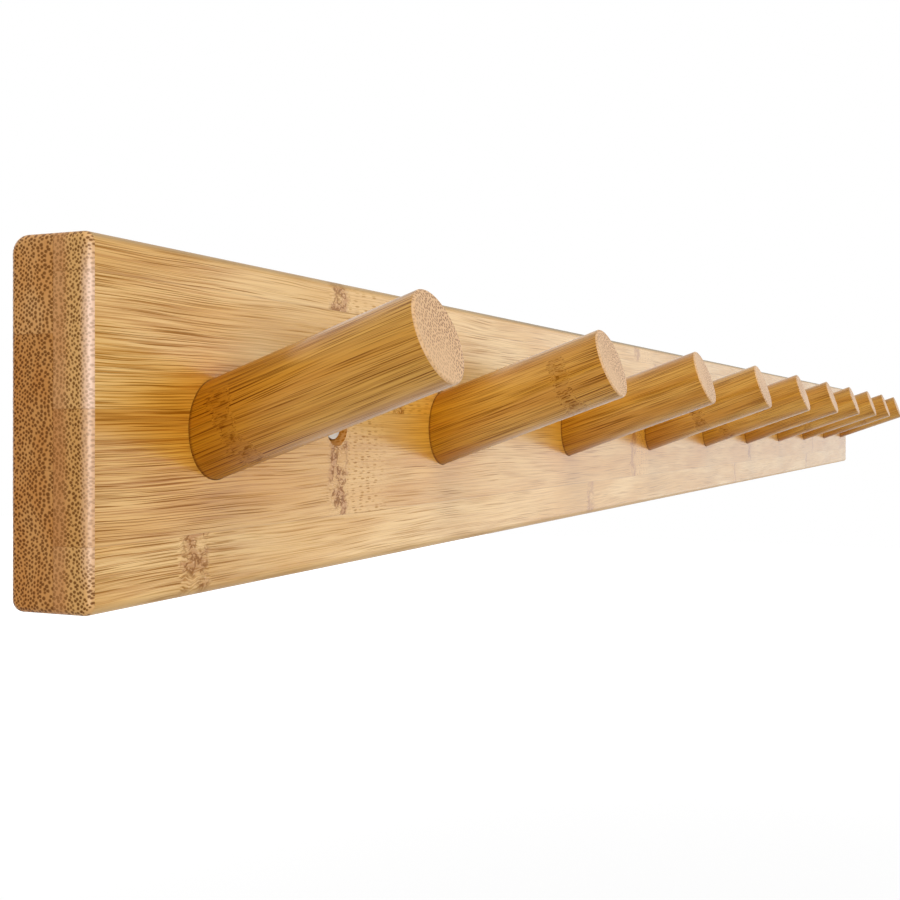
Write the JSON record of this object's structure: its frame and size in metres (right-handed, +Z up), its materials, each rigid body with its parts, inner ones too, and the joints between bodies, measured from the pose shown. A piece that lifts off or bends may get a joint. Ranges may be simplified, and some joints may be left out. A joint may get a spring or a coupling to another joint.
{
  "type": "wall coat rack",
  "caption": "Long laminated bamboo board for the wall, with a row of round bamboo pegs that lean upward to hold coats.",
  "frame": {"origin": "the middle of the board's back face, which lies on the wall", "axes": "+X along the board, to the right as the rack is seen from the front; +Y into the wall; +Z up"},
  "size_m": [0.969, 0.0874, 0.06],
  "materials": {
    "board_front_bamboo": "satin lacquer",
    "board_back_bamboo": "satin lacquer",
    "peg_bamboo": "satin lacquer",
    "screw_steel": "bright zinc plating"
  },
  "bodies": {
    "root": {"front_strip_1": "board_front_bamboo", "front_strip_2": "board_front_bamboo", "front_strip_3": "board_front_bamboo", "front_strip_4": "board_front_bamboo", "back_strip_1": "board_back_bamboo", "back_strip_2": "board_back_bamboo", "back_strip_3": "board_back_bamboo", "peg_01": "peg_bamboo", "peg_02": "peg_bamboo", "peg_03": "peg_bamboo", "peg_04": "peg_bamboo", "peg_05": "peg_bamboo", "peg_06": "peg_bamboo", "peg_07": "peg_bamboo", "peg_08": "peg_bamboo", "peg_09": "peg_bamboo", "peg_10": "peg_bamboo", "wall_screw_left": "screw_steel", "wall_screw_right": "screw_steel"}
  },
  "joints": []
}
